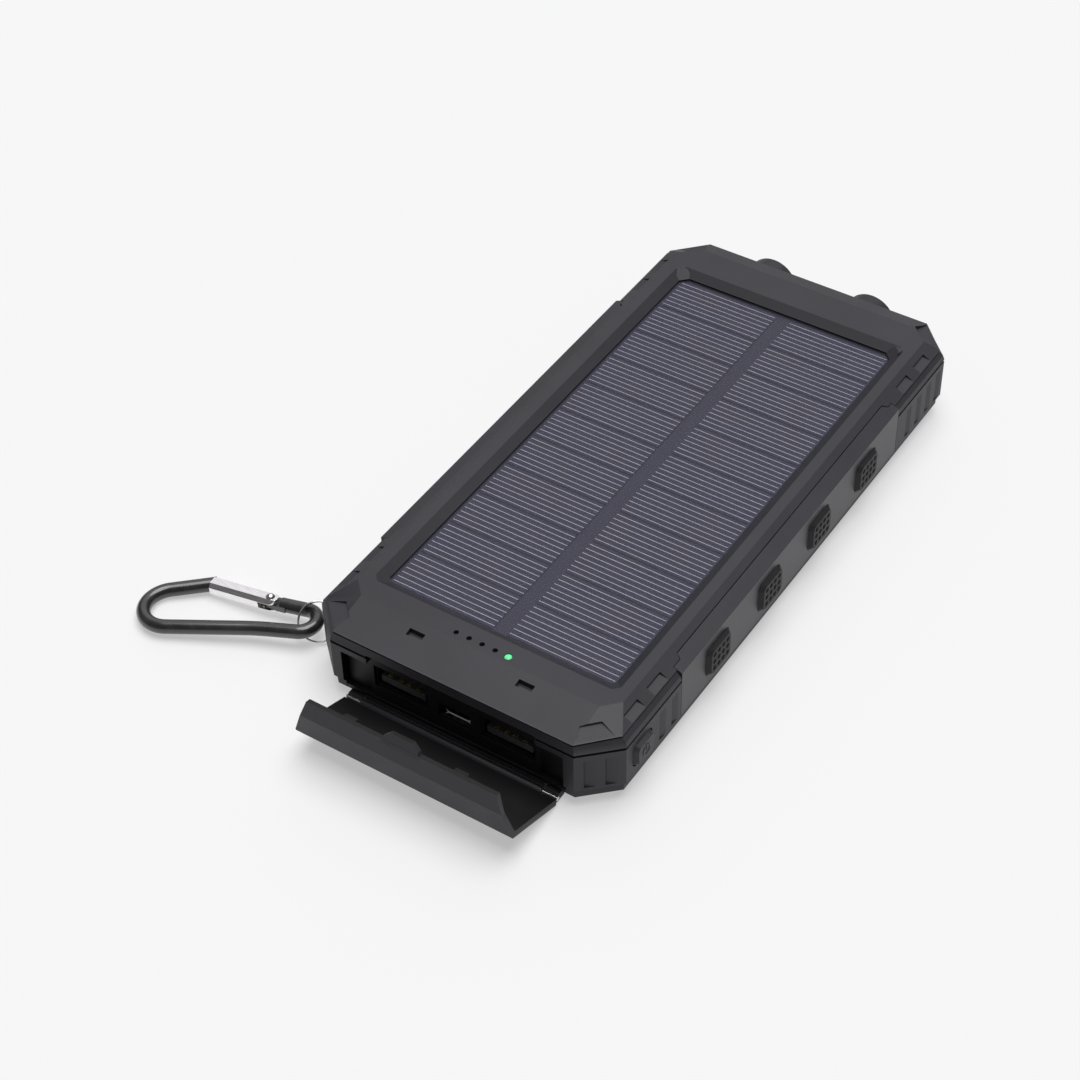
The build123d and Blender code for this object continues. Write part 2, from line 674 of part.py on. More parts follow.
def micro_section(grow, z0):
    """Rounded trapezoid section of the micro-USB socket."""
    low = 2.7 + grow
    high = 3.75 + grow
    z1 = z0 + 2.9 + 2 * grow
    shoulder = z0 + 1.1 + grow
    return [(-low, z0), (low, z0), (high, shoulder), (high, z1), (-high, z1), (-high, shoulder)]


def make_micro_usb_shell():
    z = BOARD_TOP + 0.3
    shell = along_profile(micro_section(0.0, z), -74.7, -69.2)
    shell -= along_profile(micro_section(-0.25, z + 0.25), -76, -69.6)
    lip = along_profile([(-3.5, z), (3.5, z), (3.6, z - 0.25), (-3.6, z - 0.25)], -75.7, -74.4)
    return shell + lip


def make_micro_usb_tongue():
    z = BOARD_TOP + 0.3
    tongue = block(-2.0, 2.0, -74.2, -69.65, z + 1.5, z + 2.15)
    return tongue + block(-2.4, 2.4, -70.4, -69.65, z + 0.8, z + 2.4)


def make_indicator_board():
    return block(-10.5, 10.5, -68.0, -62.6, 13.1, 14.2)


def make_indicator_leds():
    leds = []
    for x, y in light_places():
        leds.append(block(x - 0.5, x + 0.5, y - 0.8, y + 0.8, 14.22, 14.8))
    return Compound(children=leds)


def make_charge_light_pipes():
    """One clear moulding with four pins that carry light up to the cover."""
    bar = block(-7.0, 4.0, LIGHT_Y - 0.9, LIGHT_Y + 0.9, 15.2, 16.0)
    for x, y in light_places()[:4]:
        bar += rod((x, y, 14.9), (0, 0, 1), 0.5, HEIGHT - 0.8 - 14.9)
    return bar


def make_solar_light_pipe():
    x, y = light_places()[4]
    pipe = rod((x, y, 14.9), (0, 0, 1), 0.78, HEIGHT - 0.2 - 14.9)
    dome = (Pos(x, y, HEIGHT - 1.2) * Sphere(1.28)) & rod((x, y, HEIGHT - 0.3), (0, 0, 1), 0.78, 1)
    return pipe + dome + rod((x, y, 15.2), (0, 0, 1), 1.4, 0.8)


def make_battery_cell(z0):
    cell = block(-29.5, 29.5, -42.0, 52.0, z0, z0 + 6.2)
    return fillet(cell.edges().filter_by(Axis.Y), 1.2)


def make_battery_foam():
    return block(-24.0, 24.0, -36.0, 46.0, FLOOR + 0.02, 2.4)


def make_battery_tabs():
    """Nickel strips that join the two cells at the socket end."""
    tabs = []
    for side in (-1, 1):
        tabs.append(block(side * TAB_X - 3, side * TAB_X + 3, TAB_FRONT, TAB_FRONT + 0.8, 4.5, 13.0))
    return Compound(children=tabs)


def make_battery_leads():
    """Two wires from the nickel strips down to the main board."""
    leads = []
    for side in (-1, 1):
        x = side * TAB_X
        leads.append(lead([
            (x, TAB_FRONT, 12.4), (x, TAB_FRONT - 3.4, 12.4),
            (x, TAB_FRONT - 6.9, 9.8), (x, TAB_FRONT - 6.9, BOARD_TOP),
        ], LEAD_RADIUS))
    return Compound(children=leads)


def make_solar_leads():
    """Two wires from the underside of the solar board to the main board."""
    leads = []
    for side in (-1, 1):
        x = side * SOLAR_LEAD_X
        leads.append(lead([
            (x, -54.2, SOLAR_BOARD_BOTTOM), (x, -54.2, 13.6), (x, -51.4, 10.4), (x, -51.4, BOARD_TOP),
        ], LEAD_RADIUS))
    return Compound(children=leads)


def make_torch_ribbon():
    """Flat cable on its edge beside the battery, from the main board to the torch board."""
    end_x = TORCH_X + 6.0
    points = [
        (RIBBON_X, -51.5, RIBBON_Z), (RIBBON_X, 54.5, RIBBON_Z),
        (end_x, 62.5, RIBBON_Z), (end_x, TORCH_BOARD_FRONT, RIBBON_Z),
    ]
    route = FilletPolyline(*points, radius=RIBBON_BEND)
    section = Plane(origin=route @ 0, x_dir=(0, 0, 1), z_dir=route % 0) * Rectangle(RIBBON_WIDTH, 0.3)
    return sweep(section, path=route)


# ------------------------------------------------------------------ torch end
def make_torch_board():
    return block(-21.0, 21.0, TORCH_BOARD_FRONT, TORCH_BOARD_FRONT + 1.2, 4.6, 14.8)


def make_torch_leds():
    leds = []
    for side in (-1, 1):
        leds.append(rod((side * TORCH_X, 70.85, TORCH_Z), (0, 1, 0), 1.4, 0.9))
        leds.append(Pos(side * TORCH_X, 71.75, TORCH_Z) * Sphere(0.9))
    return (leds[0] + leds[1]), (leds[2] + leds[3])


def make_torch_reflector(side):
    """Thin cone around one torch light."""
    outer = Plane(origin=(side * TORCH_X, 72.0, TORCH_Z), z_dir=(0, 1, 0))
    front = Plane(origin=(side * TORCH_X, 79.2, TORCH_Z), z_dir=(0, 1, 0))
    cone = loft([outer * Circle(2.0), front * Circle(4.95)])
    hollow = loft([outer * Circle(1.6), front * Circle(4.6)])
    return cone - hollow


def make_torch_lens(side):
    return rod((side * TORCH_X, 79.25, TORCH_Z), (0, 1, 0), 4.95, 0.9)


# ------------------------------------------------------------------ power button
def make_power_button():
    """Cap with sloped edges, an inner flange, a short stem and a raised power sign."""
    root = HALF_WIDTH - 0.4
    top = HALF_WIDTH + 1.0
    cap = extrude(rounded_plate(BUTTON_LENGTH, BUTTON_HEIGHT, 1.5, 34.25), root - 34.25)
    cap += loft([
        rounded_plate(BUTTON_LENGTH, BUTTON_HEIGHT, 1.5, root),
        rounded_plate(BUTTON_LENGTH - 1.5, BUTTON_HEIGHT - 1.1, 1.1, top),
    ])
    cap += extrude(rounded_plate(BUTTON_LENGTH + 1.4, BUTTON_HEIGHT + 1.4, 1.6, 33.6), 0.65)
    cap += extrude(rounded_plate(2.4, 2.4, 0.6, 32.7), 1.0)
    face = Plane(origin=(top, 0, 0), x_dir=(0, 1, 0), z_dir=(1, 0, 0))
    ring = Circle(1.45) - Circle(1.05) - Pos(0, 1.3) * Rectangle(1.3, 1.4)
    cap += extrude(face * ring, 0.15)
    cap += extrude(face * (Pos(0, 0.9) * Rectangle(0.4, 1.7)), 0.15)
    return Pos(0, BUTTON_Y, BUTTON_Z) * cap


def make_switch_body():
    body = block(27.6, 31.3, BUTTON_Y - 3, BUTTON_Y + 3, BOARD_TOP + 0.05, BUTTON_Z + 2.4)
    return body - rod((29.0, BUTTON_Y, BUTTON_Z), (1, 0, 0), 1.1, 4)


def make_switch_plunger():
    return rod((30.1, BUTTON_Y, BUTTON_Z), (1, 0, 0), 1.0, 2.55)


# ------------------------------------------------------------------ fasteners
def make_case_screws():
    screws = []
    for x, y in screw_places():
        screw = rod((x, y, 0.35), (0, 0, 1), 2.1, 1.4)
        screw += rod((x, y, 1.7), (0, 0, 1), 1.0, 16.6)
        screw -= Pos(x, y, 0.5) * Box(2.4, 0.5, 0.9)
        screw -= Pos(x, y, 0.5) * Box(0.5, 2.4, 0.9)
        screws.append(screw)
    return Compound(children=[solid_list(s)[0] for s in screws])


# ------------------------------------------------------------------ key ring and carabiner
def make_key_ring():
    """Split ring: two close turns of round wire."""
    level, _, axis = ring_directions()
    pitch = 2 * RING_WIRE + RING_TURN_GAP
    place = Plane(origin=Vector(*RING_CENTRE) - axis * pitch, x_dir=level, z_dir=axis)
    coil = Helix(pitch=pitch, height=2 * pitch - 0.05, radius=RING_RADIUS)
    wire = sweep(Plane(origin=coil @ 0, z_dir=coil % 0) * Circle(RING_WIRE), path=coil)
    return place.location * Rot(Z=100) * wire


def on_circle(centre, radius, degrees):
    angle = math.radians(degrees)
    return (centre[0] + radius * math.cos(angle), centre[1] + radius * math.sin(angle))


def bar_path():
    """Centre line of the carabiner's bent bar, from the nose round to the pivot."""
    big = (BIG_END_X, -BIG_END_RADIUS)
    shoulder = on_circle(big, BIG_END_RADIUS, -77.7)
    spine_start = (BIG_END_X, 0)
    waist_angle = 84.5
    waist = on_circle(SMALL_END, SMALL_END_RADIUS, waist_angle)
    hook = on_circle(SMALL_END, SMALL_END_RADIUS, -105.3)
    back_up = (Vector(*NOSE) - Vector(*shoulder)).normalized() * 1.6
    nose_line = Line(Vector(*NOSE) + back_up, shoulder)
    big_end = ThreePointArc(shoulder, (big[0] + BIG_END_RADIUS, big[1]), spine_start)
    rise = on_circle((0, 0), 1, waist_angle + 90)
    corner_x = waist[0] - waist[1] * rise[0] / rise[1]
    spine_end = (corner_x + SPINE_EASE, 0)
    slope_start = (corner_x + SPINE_EASE * rise[0], SPINE_EASE * rise[1])
    ease = TangentArc(spine_end, slope_start, tangent=(-1, 0))
    slope = Line(slope_start, waist)
    spine = Line(spine_start, spine_end)
    small_end = ThreePointArc(waist, (SMALL_END[0] - SMALL_END_RADIUS, SMALL_END[1]), hook)
    to_pivot = Vector(PIVOT[0] - hook[0], PIVOT[1] - hook[1])
    hook_line = Line(hook, Vector(*hook) + to_pivot.normalized() * (to_pivot.length - 2.6))
    return Wire([nose_line, big_end, spine, ease, slope, small_end, hook_line])


def gate_place():
    """Frame of the gate: origin on the pivot, x toward the nose."""
    angle = math.degrees(math.atan2(NOSE[1] - PIVOT[1], NOSE[0] - PIVOT[0]))
    return Pos(PIVOT[0], PIVOT[1], 0) * Rot(Z=angle)


def make_carabiner_body():
    """Bent round bar with a round-cut nose and a flat pivot tongue."""
    path = bar_path()
    bar = sweep(Plane(origin=path @ 0, z_dir=path % 0) * Circle(BAR_RADIUS), path=path)
    tongue = block(-4.2, 0, -1.45, 1.45, -0.65, 0.65) + Cylinder(1.45, 1.3)
    tongue -= Cylinder(0.6, 4)
    nose_trim = Cylinder(GATE_REACH + 0.12, 6) - Cylinder(GATE_REACH - 4, 8)
    nose_trim &= block(0, 20, -4, 4, -4, 4)
    body = bar - gate_place() * nose_trim
    body += gate_place() * tongue
    return CARABINER_PLACE * body


def make_carabiner_gate():
    """Straight gate with bevelled edges, forked over the pivot tongue."""
    section = Rectangle(3.7, 3.4)
    section = chamfer(section.vertices(), 0.85)
    bar = extrude(Plane(origin=(-2.0, 0, 0), x_dir=(0, 1, 0), z_dir=(1, 0, 0)) * section, GATE_REACH + 2.5)
    bar &= (Cylinder(1.85, 4) + block(0, GATE_REACH + 1, -2, 2, -2, 2)) & Cylinder(GATE_REACH, 4)
    bar -= block(-3, 2.4, -3, 3, -0.75, 0.75)
    bar -= Cylinder(0.6, 6)
    bar -= rod((2.3, 0, 0), (1, 0, 0), 0.85, 7.2)
    return CARABINER_PLACE * gate_place() * bar


def make_gate_rivet():
    """Rivet with a domed head on each side of the gate."""
    rivet = Cylinder(0.56, 3.9)
    dome = (Pos(0, 0, 1.15) * Sphere(1.2)) & block(-2, 2, -2, 2, 1.74, 3)
    rivet += dome + mirror(dome, about=Plane.XY)
    return CARABINER_PLACE * gate_place() * rivet


def make_gate_plunger():
    plunger = rod((1.55, 0, 0), (1, 0, 0), 0.65, 2.6)
    return CARABINER_PLACE * gate_place() * plunger


def make_gate_spring():
    coil = Helix(pitch=0.62, height=4.6, radius=0.55)
    wire = sweep(Plane(origin=coil @ 0, z_dir=coil % 0) * Circle(0.13), path=coil)
    return CARABINER_PLACE * gate_place() * Pos(4.5, 0, 0) * Rot(Y=90) * wire


# ------------------------------------------------------------------ build every node
def main():
    trim = make_side_trim()
    pads = make_grip_pads()
    left_led, right_led = make_torch_leds()
    nodes = {
        "bottom_shell": make_bottom_shell(),
        "rim_collar": make_rim_collar(),
        "top_cover": make_top_cover(),
        "side_trim_right": trim,
        "side_trim_left": mirrored(trim),
        "grip_pads_right": pads,
        "grip_pads_left": mirrored(pads),
        "port_flap": make_port_flap(),
        "flap_hinge_pin": make_flap_hinge_pin(),
        "solar_board": make_solar_board(),
        "solar_cells": make_solar_cells(),
        "solar_film": make_solar_film(),
        "panel_gasket": make_panel_gasket(),
        "panel_frame": make_panel_frame(),
        "main_board": make_main_board(),
        "board_chips": make_board_chips(),
        "micro_usb_shell": make_micro_usb_shell(),
        "micro_usb_tongue": make_micro_usb_tongue(),
        "indicator_board": make_indicator_board(),
        "indicator_leds": make_indicator_leds(),
        "charge_light_pipes": make_charge_light_pipes(),
        "solar_light_pipe": make_solar_light_pipe(),
        "battery_cell_lower": make_battery_cell(2.45),
        "battery_cell_upper": make_battery_cell(8.8),
        "battery_foam": make_battery_foam(),
        "battery_tabs": make_battery_tabs(),
        "battery_leads": make_battery_leads(),
        "solar_leads": make_solar_leads(),
        "torch_ribbon": make_torch_ribbon(),
        "torch_board": make_torch_board(),
        "torch_led_left": left_led,
        "torch_led_right": right_led,
        "torch_reflector_left": make_torch_reflector(-1),
        "torch_reflector_right": make_torch_reflector(1),
        "torch_lens_left": make_torch_lens(-1),
        "torch_lens_right": make_torch_lens(1),
        "power_button": make_power_button(),
        "switch_body": make_switch_body(),
        "switch_plunger": make_switch_plunger(),
        "case_screws": make_case_screws(),
        "key_ring": make_key_ring(),
        "carabiner_body": make_carabiner_body(),
        "carabiner_gate": make_carabiner_gate(),
        "gate_rivet": make_gate_rivet(),
        "gate_plunger": make_gate_plunger(),
        "gate_spring": make_gate_spring(),
    }
    for side, word in ((-1, "left"), (1, "right")):
        nodes["usb_a_shell_" + word] = make_usb_a_shell(side)
        nodes["usb_a_tongue_" + word] = make_usb_a_tongue(side)
        nodes["usb_a_contacts_" + word] = make_usb_a_contacts(side)
    for name, shape in nodes.items():
        save(shape, name)


main()
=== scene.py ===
import math

import bmesh
import bpy
from mathutils import Matrix, Vector


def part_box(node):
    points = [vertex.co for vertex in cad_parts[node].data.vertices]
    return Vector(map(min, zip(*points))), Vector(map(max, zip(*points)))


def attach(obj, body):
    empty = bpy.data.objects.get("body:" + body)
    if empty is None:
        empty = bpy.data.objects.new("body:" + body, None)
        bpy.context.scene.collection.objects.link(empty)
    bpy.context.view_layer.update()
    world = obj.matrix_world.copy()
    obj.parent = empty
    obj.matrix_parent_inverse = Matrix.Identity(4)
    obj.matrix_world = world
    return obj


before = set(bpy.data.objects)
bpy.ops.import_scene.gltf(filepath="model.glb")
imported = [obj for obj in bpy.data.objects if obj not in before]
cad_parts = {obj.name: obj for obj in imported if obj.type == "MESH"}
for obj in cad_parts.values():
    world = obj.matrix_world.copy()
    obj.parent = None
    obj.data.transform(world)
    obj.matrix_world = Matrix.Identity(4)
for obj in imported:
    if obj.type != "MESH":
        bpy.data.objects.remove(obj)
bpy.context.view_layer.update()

# Rugged solar power bank. Metres, in the frame of the CAD model.
MM = 0.001

# ------------------------------------------------------------------ camera
CAMERA_TARGET = (-12.5, -25.0, 10.0)        # mm
CAMERA_DISTANCE = 520.1                     # mm
CAMERA_AZIMUTH = 34.29                      # degrees round from -Y towards +X
CAMERA_ELEVATION = 44.01
CAMERA_ROLL = -1.66
LENS = 79.45                                # mm, as is the sensor
SENSOR = 36.0
NEAREST_SEEN = 10.0                         # mm

# ------------------------------------------------------------------ studio
FLOOR_HALF_WIDTH = 4000.0                   # mm
FLOOR_COLOUR = (0.45, 0.45, 0.45)
FLOOR_GLOW = 0.43                           # the pale sheet also glows, as on a light table
KEY_LIGHT = {"from": (0.05, 0.16, 1.0), "spread": 50.0, "strength": 2.75}
SKY_COLOUR = (0.13, 0.13, 0.132)
SOFT_BOX = {"from": (-0.37, 0.62, 0.69), "spread": (16.0, 38.0), "colour": (0.88, 0.86, 0.9)}

# ------------------------------------------------------------------ colours, linear
CHARCOAL = (0.0265, 0.0254, 0.0312)
# The same charcoal made a little lighter, as painted light on the side trim's walls.
CHARCOAL_PAINTED_LIGHTER = (0.0285, 0.0272, 0.0335)
CHARCOAL_DARK = (0.0115, 0.011, 0.0126)
# Near black painted as shade: in the port recess behind the flap and on the open flap's inner face.
PAINTED_SHADE_BLACK = (0.0055, 0.0055, 0.006)
RUBBED_METAL = (0.12, 0.12, 0.12)
WHITE = (1.0, 1.0, 1.0)

# Inside this box the shell is painted near black as shade, for the deep port recess.
PORT_BAY = ((-27.4, -77.3, 0.0), (27.4, -72.0, 16.0))      # mm, corners of the recess behind the flap
# Faces of the flap that look this way are painted near black as shade.
FLAP_INSIDE = (0.0, 0.34, 0.94)                            # way the open flap's inner face looks

# ------------------------------------------------------------------ solar panel, in mm
STRIPS = 11
STRIP_GAP = 0.4             # between one strip of cells and the next
FINGERS = 7                 # silver lines on one strip
FINGER_PITCH = 1.48
FINGER_WIDTH = 0.13
FINGER_START = 1.9          # from the middle of the panel
FINGER_MARGIN = 0.35        # from the outer edge of the cells
CELL_CLEARANCE = 0.001      # between a silver line and the cell under it
FILM_CLEARANCE = 0.004      # between a silver line and the film over it

# ------------------------------------------------------------------ edges
WELD_DISTANCE = 0.002       # mm
FLAT_ANGLE = 0.6            # degrees, faces that meet at less are joined
SHARP_ANGLE = 32.0          # degrees, edges that turn by more are rounded
ROUNDING_SEGMENTS = 3
EDGE_SAMPLES = 4            # rays for the shader that finds edges

# ------------------------------------------------------------------ places of a colour mix node's sockets
MIX_FACTOR = 0
MIX_FIRST = 6
MIX_SECOND = 7
MIX_RESULT = 2


# ------------------------------------------------------------------ material helpers
class Material:
    """A node material with a principled shader, and short ways to add nodes to it."""

    def __init__(self, name):
        self.material = bpy.data.materials.new(name)
        self.material.use_nodes = True
        self.nodes = self.material.node_tree.nodes
        self.links = self.material.node_tree.links
        self.shader = self.nodes["Principled BSDF"]

    def set(self, **values):
        """Sets sockets of the shader, named with _ for a space."""
        for name, value in values.items():
            socket = self.shader.inputs[name.replace("_", " ")]
            is_colour = isinstance(value, tuple) and len(value) == 3
            socket.default_value = (*value, 1.0) if is_colour else value

    def add(self, kind, **inputs):
        """A new node with some of its sockets set."""
        node = self.nodes.new(kind)
        for name, value in inputs.items():
            node.inputs[name.replace("_", " ")].default_value = value
        return node

    def link(self, source, target):
        self.links.new(source, target)

    def place(self):
        """Object coordinates in millimetres."""
        coordinates = self.add("ShaderNodeTexCoord")
        scale = self.nodes.new("ShaderNodeVectorMath")
        scale.operation = "SCALE"
        scale.inputs["Scale"].default_value = 1 / MM
        self.link(coordinates.outputs["Object"], scale.inputs[0])
        return scale.outputs[0]

    def noise(self, place, scale, detail=3.0, stretch=None):
        """Soft noise from 0 to 1, stretched along the axes if asked."""
        texture = self.add("ShaderNodeTexNoise", Scale=scale, Detail=detail)
        if stretch:
            mapping = self.add("ShaderNodeMapping", Scale=stretch)
            self.link(place, mapping.inputs["Vector"])
            place = mapping.outputs["Vector"]
        self.link(place, texture.inputs["Vector"])
        return texture.outputs["Fac"]

    def remap(self, source, low, high, to_low, to_high):
        """The source's range, low to high, spread over another range."""
        node = self.add("ShaderNodeMapRange", From_Min=low, From_Max=high, To_Min=to_low, To_Max=to_high)
        self.link(source, node.inputs["Value"])
        return node.outputs["Result"]

    def mix(self, factor, first, second):
        """Mix of two colours, each a plain colour or a socket, by a factor socket."""
        node = self.nodes.new("ShaderNodeMix")
        node.data_type = "RGBA"
        self.link(factor, node.inputs[MIX_FACTOR])
        for place, colour in ((MIX_FIRST, first), (MIX_SECOND, second)):
            socket = node.inputs[place]
            if isinstance(colour, tuple):
                socket.default_value = (*colour, 1.0)
            else:
                self.link(colour, socket)
        return node.outputs[MIX_RESULT]

    def colour(self, source):
        self.link(source, self.shader.inputs["Base Color"])

    def roughness(self, source):
        self.link(source, self.shader.inputs["Roughness"])

    def bump(self, height, depth_mm, strength=1.0):
        node = self.add("ShaderNodeBump", Strength=strength, Distance=depth_mm * MM)
        self.link(height, node.inputs["Height"])
        self.link(node.outputs["Normal"], self.shader.inputs["Normal"])

    def edge_mask(self, radius_mm):
        """1 along sharp edges, 0 on flat faces."""
        bevel = self.add("ShaderNodeBevel", Radius=radius_mm * MM)
        bevel.samples = EDGE_SAMPLES
        geometry = self.nodes.new("ShaderNodeNewGeometry")
        dot = self.nodes.new("ShaderNodeVectorMath")
        dot.operation = "DOT_PRODUCT"
        self.link(bevel.outputs["Normal"], dot.inputs[0])
        self.link(geometry.outputs["True Normal"], dot.inputs[1])
        return self.remap(dot.outputs["Value"], 0.7, 0.99, 1.0, 0.0)

    def facing(self, direction):
        """1 where the piece's own face looks along a direction, 0 elsewhere."""
        coordinates = self.add("ShaderNodeTexCoord")
        dot = self.nodes.new("ShaderNodeVectorMath")
        dot.operation = "DOT_PRODUCT"
        dot.inputs[1].default_value = Vector(direction).normalized()
        self.link(coordinates.outputs["Normal"], dot.inputs[0])
        return self.remap(dot.outputs["Value"], 0.9, 0.97, 0.0, 1.0)

    def inside(self, place, low, high):
        """1 inside a box in mm, 0 outside it."""
        split = self.nodes.new("ShaderNodeSeparateXYZ")
        self.link(place, split.inputs[0])
        result = None
        for axis in range(3):
            compare = self.nodes.new("ShaderNodeMath")
            compare.operation = "COMPARE"
            compare.inputs[1].default_value = (low[axis] + high[axis]) / 2
            compare.inputs[2].default_value = (high[axis] - low[axis]) / 2
            self.link(split.outputs[axis], compare.inputs[0])
            if result is None:
                result = compare.outputs[0]
            else:
                both = self.nodes.new("ShaderNodeMath")
                both.operation = "MULTIPLY"
                self.link(result, both.inputs[0])
                self.link(compare.outputs[0], both.inputs[1])
                result = both.outputs[0]
        return result


def lighter(colour, factor):
    return tuple(min(1.0, channel * factor) for channel in colour)


def moulded_plastic(name, colour, roughness, grain=6.0, depth=0.012, wear=1.35, painted_shade_zone=None):
    """Spark-textured plastic: fine grain, faint clouding and slightly polished edges.

    A painted shade zone is a box in mm, low and high corner, where the moulding is painted near black as
    shade."""
    m = Material(name)
    m.set(Specular_IOR_Level=0.36)
    place = m.place()
    cloud = m.noise(place, 0.055, 4.0)
    speck = m.noise(place, grain, 2.0)
    base = m.mix(m.remap(cloud, 0.35, 0.65, 0.0, 1.0), lighter(colour, 0.9), lighter(colour, 1.1))
    base = m.mix(m.remap(speck, 0.58, 0.72, 0.0, 0.35), base, lighter(colour, 1.6))
    base = m.mix(m.edge_mask(0.28), base, lighter(colour, wear))
    if painted_shade_zone:
        # Painted shade: inside the box the colour turns near black.
        base = m.mix(m.inside(place, *painted_shade_zone), base, PAINTED_SHADE_BLACK)
    m.colour(base)
    m.roughness(m.remap(speck, 0.3, 0.7, roughness - 0.06, roughness + 0.07))
    m.bump(speck, depth)
    return m.material


def rubber(name, colour, roughness=0.62, painted_shade_side=None):
    """Soft-touch rubber: matt with a dusty sheen and a very fine grain.

    Faces that look along the given shade direction are painted near black, as shade."""
    m = Material(name)
    m.set(Specular_IOR_Level=0.28, Sheen_Weight=0.04, Sheen_Roughness=0.5)
    place = m.place()
    dust = m.noise(place, 0.12, 5.0)
    speck = m.noise(place, 9.0, 2.0)
    base = m.mix(m.remap(dust, 0.4, 0.7, 0.0, 1.0), colour, lighter(colour, 1.22))
    base = m.mix(m.edge_mask(0.22), base, lighter(colour, 1.4))
    if painted_shade_side:
        # Painted shade: faces that look along the given direction turn near black.
        base = m.mix(m.facing(painted_shade_side), base, PAINTED_SHADE_BLACK)
    m.colour(base)
    m.roughness(m.remap(dust, 0.3, 0.7, roughness - 0.05, roughness + 0.06))
    m.bump(speck, 0.01)
    return m.material


def metal(name, colour, roughness, stretch=(1.0, 1.0, 1.0), scale=1.2, depth=0.004):
    """Bare or plated metal with fine drawn lines along one direction."""
    m = Material(name)
    m.set(Metallic=1.0)
    place = m.place()
    lines = m.noise(place, scale, 4.0, stretch)
    m.colour(m.mix(m.remap(lines, 0.3, 0.7, 0.0, 1.0), lighter(colour, 0.86), lighter(colour, 1.08)))
    m.roughness(m.remap(lines, 0.3, 0.7, roughness - 0.05, roughness + 0.08))
    m.bump(lines, depth)
    return m.material


def anodised(name, colour):
    """Glossy black anodised bar with faint rubbed patches."""
    m = Material(name)
    m.set(Specular_IOR_Level=0.6, Coat_Weight=0.6, Coat_Roughness=0.08)
    place = m.place()
    patches = m.noise(place, 0.35, 6.0)
    scratches = m.noise(place, 1.4, 8.0, (0.25, 2.5, 2.5))
    base = m.mix(m.remap(patches, 0.45, 0.75, 0.0, 1.0), colour, lighter(colour, 1.7))
    base = m.mix(m.remap(scratches, 0.68, 0.74, 0.0, 0.5), base, RUBBED_METAL)
    m.colour(base)
    m.roughness(m.remap(patches, 0.3, 0.7, 0.24, 0.36))
    m.bump(patches, 0.006)
    return m.material


def solar_silicon(name):
    """Dark blue-grey cell with a faint crystal mottle."""
    m = Material(name)
    m.set(Specular_IOR_Level=0.16)
    place = m.place()
    mottle = m.noise(place, 1.1, 6.0)
    band = m.noise(place, 0.09, 2.0)
    base = m.mix(m.remap(mottle, 0.35, 0.65, 0.0, 1.0), (0.02, 0.021, 0.046), (0.03, 0.031, 0.063))
    base = m.mix(m.remap(band, 0.4, 0.62, 0.0, 0.7), base, (0.034, 0.029, 0.048))
    m.colour(base)
    m.roughness(m.remap(mottle, 0.3, 0.7, 0.32, 0.42))
    m.bump(mottle, 0.006)
    return m.material


def panel_backing(name):
    """Printed sheet behind the cells, a little redder than they are."""
    m = Material(name)
    m.set(Specular_IOR_Level=0.16)
    place = m.place()
    speck = m.noise(place, 3.0, 3.0)
    m.colour(m.mix(m.remap(speck, 0.4, 0.6, 0.0, 1.0), (0.027, 0.026, 0.046), (0.03, 0.029, 0.05)))
    m.roughness(m.remap(speck, 0.3, 0.7, 0.38, 0.46))
    return m.material


def silver_paste(name):
    """Screen-printed silver lines, slightly uneven."""
    m = Material(name)
    m.set(Metallic=0.3)
    place = m.place()
    uneven = m.noise(place, 1.6, 4.0)
    m.colour(m.mix(m.remap(uneven, 0.3, 0.7, 0.0, 1.0), (0.36, 0.36, 0.39), (0.5, 0.5, 0.54)))
    m.roughness(m.remap(uneven, 0.3, 0.7, 0.4, 0.55))
    return m.material


def clear_plastic(name, tint, alpha, roughness=0.06):
    """Thin clear film, lens or light pipe with faint marks in its gloss."""
    m = Material(name)
    m.set(Alpha=alpha, IOR=1.5, Specular_IOR_Level=0.5)
    place = m.place()
    marks = m.noise(place, 0.5, 6.0)
    m.colour(m.mix(m.remap(marks, 0.4, 0.6, 0.0, 1.0), tint, lighter(tint, 1.06)))
    m.roughness(m.remap(marks, 0.35, 0.7, roughness, roughness + 0.05))
    return m.material


def lit_plastic(name, colour, strength):
    """Light body or light pipe end that glows softly, a little unevenly."""
    m = Material(name)
    m.set(Roughness=0.25, Emission_Strength=strength)
    place = m.place()
    glow = m.noise(place, 1.5, 2.0)
    shade = m.mix(m.remap(glow, 0.35, 0.65, 0.0, 1.0), colour, lighter(colour, 1.25))
    m.colour(shade)
    m.link(shade, m.shader.inputs["Emission Color"])
    return m.material


def circuit_board(name, colour):
    """Solder mask with copper tracks and pads showing through."""
    m = Material(name)
    m.set(Specular_IOR_Level=0.5, Coat_Weight=0.3)
    place = m.place()
    tracks = m.add("ShaderNodeTexBrick", Scale=0.32, Mortar_Size=0.045)
    m.link(place, tracks.inputs["Vector"])
    noise = m.noise(place, 0.5, 3.0)
    base = m.mix(m.remap(noise, 0.35, 0.65, 0.0, 1.0), colour, lighter(colour, 1.4))
    m.colour(m.mix(m.remap(tracks.outputs["Fac"], 0.0, 1.0, 0.0, 0.7), base, lighter(colour, 2.2)))
    m.roughness(m.remap(noise, 0.3, 0.7, 0.3, 0.45))
    m.bump(tracks.outputs["Fac"], 0.03)
    return m.material


def printed_film(name, colour):
    """Polyimide film with copper lines along it."""
    m = Material(name)
    m.set(Specular_IOR_Level=0.5)
    place = m.place()
    wave = m.add("ShaderNodeTexWave", Scale=0.45)
    wave.bands_direction = "Z"
    m.link(place, wave.inputs["Vector"])
    m.colour(m.mix(wave.outputs["Fac"], colour, lighter(colour, 1.9)))
    m.roughness(m.remap(wave.outputs["Fac"], 0.0, 1.0, 0.3, 0.42))
    return m.material


